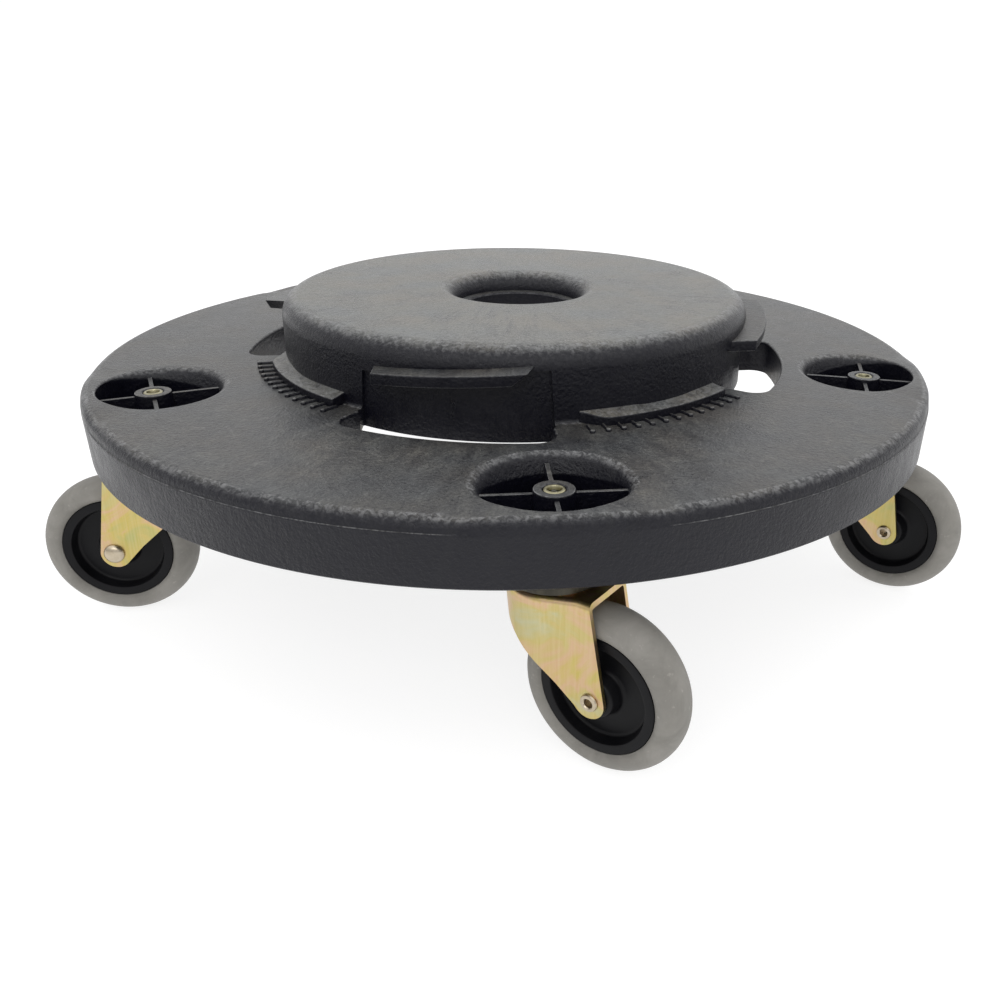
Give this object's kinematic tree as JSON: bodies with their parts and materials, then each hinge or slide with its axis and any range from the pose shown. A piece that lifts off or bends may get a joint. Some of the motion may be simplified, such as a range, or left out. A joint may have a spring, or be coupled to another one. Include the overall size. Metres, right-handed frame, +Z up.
{
  "type": "round container dolly",
  "caption": "Low round moulded dolly with a raised twist-lock hub, lug slots and spoked caster wells, rolling on swivel casters with grey donut-shaped tyres.",
  "frame": {"origin": "on the floor, below the middle of the bounding box with the casters as they stand; the disc's own axis is at x = -14.4 mm, y = 0, because the +X caster trails out past the rim", "axes": "+Z up; +X from the disc axis through the swivel axis of caster 1 and the middle of one twist-lock slot; the side towards -Y is the one usually shown as the front"},
  "size_m": [0.486, 0.4572, 0.1589],
  "materials": {
    "deck_plastic": "black structural foam, fine flow marks, scuffed top",
    "tyre_rubber": "grey non-marking thermoplastic rubber, smooth",
    "core_plastic": "black moulded nylon, satin",
    "gold_zinc": "yellow-passivated zinc plate, slightly iridescent",
    "plain_steel": "bright zinc-plated steel"
  },
  "bodies": {
    "dolly": {"deck": "deck_plastic", "stem_1": "gold_zinc", "bearing_cup_1": "gold_zinc", "stem_2": "gold_zinc", "bearing_cup_2": "gold_zinc", "stem_3": "gold_zinc", "bearing_cup_3": "gold_zinc", "stem_4": "gold_zinc", "bearing_cup_4": "gold_zinc", "stem_5": "gold_zinc", "bearing_cup_5": "gold_zinc"},
    "swivel_1": {"fork_1": "gold_zinc", "ball_ring_1": "plain_steel", "axle_rivet_1": "plain_steel", "axle_sleeve_1": "plain_steel"},
    "wheel_1": {"wheel_core_1": "core_plastic", "tyre_1": "tyre_rubber"},
    "swivel_2": {"fork_2": "gold_zinc", "ball_ring_2": "plain_steel", "axle_rivet_2": "plain_steel", "axle_sleeve_2": "plain_steel"},
    "wheel_2": {"wheel_core_2": "core_plastic", "tyre_2": "tyre_rubber"},
    "swivel_3": {"fork_3": "gold_zinc", "ball_ring_3": "plain_steel", "axle_rivet_3": "plain_steel", "axle_sleeve_3": "plain_steel"},
    "wheel_3": {"wheel_core_3": "core_plastic", "tyre_3": "tyre_rubber"},
    "swivel_4": {"fork_4": "gold_zinc", "ball_ring_4": "plain_steel", "axle_rivet_4": "plain_steel", "axle_sleeve_4": "plain_steel"},
    "wheel_4": {"wheel_core_4": "core_plastic", "tyre_4": "tyre_rubber"},
    "swivel_5": {"fork_5": "gold_zinc", "ball_ring_5": "plain_steel", "axle_rivet_5": "plain_steel", "axle_sleeve_5": "plain_steel"},
    "wheel_5": {"wheel_core_5": "core_plastic", "tyre_5": "tyre_rubber"}
  },
  "joints": [
    {"name": "swivel_1_turn", "type": "hinge", "parent": "dolly", "child": "swivel_1", "pos_m": [0.1812, 0, 0.084], "axis": [0, 0, 1], "continuous": true},
    {"name": "wheel_1_roll", "type": "hinge", "parent": "swivel_1", "child": "wheel_1", "pos_m": [0.20659, -0.01057, 0.0381], "axis": [0.3843, 0.9232, 0], "continuous": true},
    {"name": "swivel_2_turn", "type": "hinge", "parent": "dolly", "child": "swivel_2", "pos_m": [0.04604, 0.18603, 0.084], "axis": [0, 0, 1], "continuous": true},
    {"name": "wheel_2_roll", "type": "hinge", "parent": "swivel_2", "child": "wheel_2", "pos_m": [0.01948, 0.19314, 0.0381], "axis": [-0.2588, -0.9659, 0], "continuous": true},
    {"name": "swivel_3_turn", "type": "hinge", "parent": "dolly", "child": "swivel_3", "pos_m": [-0.17264, 0.11497, 0.084], "axis": [0, 0, 1], "continuous": true},
    {"name": "wheel_3_roll", "type": "hinge", "parent": "swivel_3", "child": "wheel_3", "pos_m": [-0.17976, 0.08841, 0.0381], "axis": [0.9659, -0.2588, 0], "continuous": true},
    {"name": "swivel_4_turn", "type": "hinge", "parent": "dolly", "child": "swivel_4", "pos_m": [-0.17264, -0.11497, 0.084], "axis": [0, 0, 1], "continuous": true},
    {"name": "wheel_4_roll", "type": "hinge", "parent": "swivel_4", "child": "wheel_4", "pos_m": [-0.19924, -0.12195, 0.0381], "axis": [0.2538, -0.9673, 0], "continuous": true},
    {"name": "swivel_5_turn", "type": "hinge", "parent": "dolly", "child": "swivel_5", "pos_m": [0.04604, -0.18603, 0.084], "axis": [0, 0, 1], "continuous": true},
    {"name": "wheel_5_roll", "type": "hinge", "parent": "swivel_5", "child": "wheel_5", "pos_m": [0.07143, -0.19659, 0.0381], "axis": [0.3843, 0.9232, 0], "continuous": true}
  ]
}
